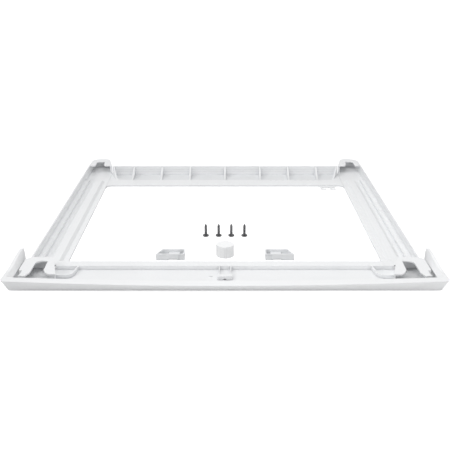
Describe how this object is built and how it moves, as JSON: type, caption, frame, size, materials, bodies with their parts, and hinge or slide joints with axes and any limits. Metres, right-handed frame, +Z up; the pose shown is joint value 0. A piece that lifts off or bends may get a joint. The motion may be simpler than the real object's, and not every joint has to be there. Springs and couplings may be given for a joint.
{
  "type": "washer dryer stacking kit",
  "caption": "Flat white frame that holds a dryer on top of a washer, with clips and hoods for the dryer's feet, a pull-off front trim, and loose brackets, screws and a foot cap.",
  "frame": {"origin": "middle of the kit's underside, on the surface that it lies on", "axes": "+Z up, -Y towards the front trim, +X towards the right-hand side seen from the front"},
  "size_m": [0.6084, 0.609, 0.0273],
  "materials": {
    "front_tray": "fine satin moulded plastic",
    "front_rail": "fine satin moulded plastic",
    "rear_rail": "fine satin moulded plastic",
    "left_side_rail": "fine satin moulded plastic",
    "right_side_rail": "fine satin moulded plastic",
    "left_front_foot_clip": "fine satin moulded plastic",
    "right_front_foot_clip": "fine satin moulded plastic",
    "left_rear_foot_hood": "fine satin moulded plastic",
    "right_rear_foot_hood": "fine satin moulded plastic",
    "centre_catch": "fine satin moulded plastic",
    "cable_clip": "fine satin moulded plastic",
    "left_front_pad": "matt dark rubber",
    "right_front_pad": "matt dark rubber",
    "left_rear_pad": "matt dark rubber",
    "right_rear_pad": "matt dark rubber",
    "front_trim": "fine satin moulded plastic",
    "left_bracket": "satin light grey moulded plastic",
    "right_bracket": "satin light grey moulded plastic",
    "screw_1": "dark zinc plating",
    "screw_2": "dark zinc plating",
    "screw_3": "dark zinc plating",
    "screw_4": "dark zinc plating",
    "foot_cap": "fine satin moulded plastic"
  },
  "bodies": {
    "frame": {"front_tray": "front_tray", "front_rail": "front_rail", "rear_rail": "rear_rail", "left_side_rail": "left_side_rail", "right_side_rail": "right_side_rail", "left_front_foot_clip": "left_front_foot_clip", "right_front_foot_clip": "right_front_foot_clip", "left_rear_foot_hood": "left_rear_foot_hood", "right_rear_foot_hood": "right_rear_foot_hood", "centre_catch": "centre_catch", "cable_clip": "cable_clip", "left_front_pad": "left_front_pad", "right_front_pad": "right_front_pad", "left_rear_pad": "left_rear_pad", "right_rear_pad": "right_rear_pad"},
    "front_trim": {"front_trim": "front_trim"},
    "left_bracket": {"left_bracket": "left_bracket"},
    "right_bracket": {"right_bracket": "right_bracket"},
    "screw_1": {"screw_1": "screw_1"},
    "screw_2": {"screw_2": "screw_2"},
    "screw_3": {"screw_3": "screw_3"},
    "screw_4": {"screw_4": "screw_4"},
    "foot_cap": {"foot_cap": "foot_cap"}
  },
  "joints": [
    {"name": "front_trim_pull", "type": "slide", "parent": "frame", "child": "front_trim", "axis": [0, -1, 0], "range_m": [0, 0.12]},
    {"name": "left_bracket_lift", "type": "slide", "parent": "frame", "child": "left_bracket", "axis": [0, 0, 1], "range_m": [0, 0.06]},
    {"name": "right_bracket_lift", "type": "slide", "parent": "frame", "child": "right_bracket", "axis": [0, 0, 1], "range_m": [0, 0.06]},
    {"name": "screw_1_lift", "type": "slide", "parent": "frame", "child": "screw_1", "axis": [0, 0, 1], "range_m": [0, 0.06]},
    {"name": "screw_2_lift", "type": "slide", "parent": "frame", "child": "screw_2", "axis": [0, 0, 1], "range_m": [0, 0.06]},
    {"name": "screw_3_lift", "type": "slide", "parent": "frame", "child": "screw_3", "axis": [0, 0, 1], "range_m": [0, 0.06]},
    {"name": "screw_4_lift", "type": "slide", "parent": "frame", "child": "screw_4", "axis": [0, 0, 1], "range_m": [0, 0.06]},
    {"name": "foot_cap_lift", "type": "slide", "parent": "frame", "child": "foot_cap", "axis": [0, 0, 1], "range_m": [0, 0.06]}
  ]
}
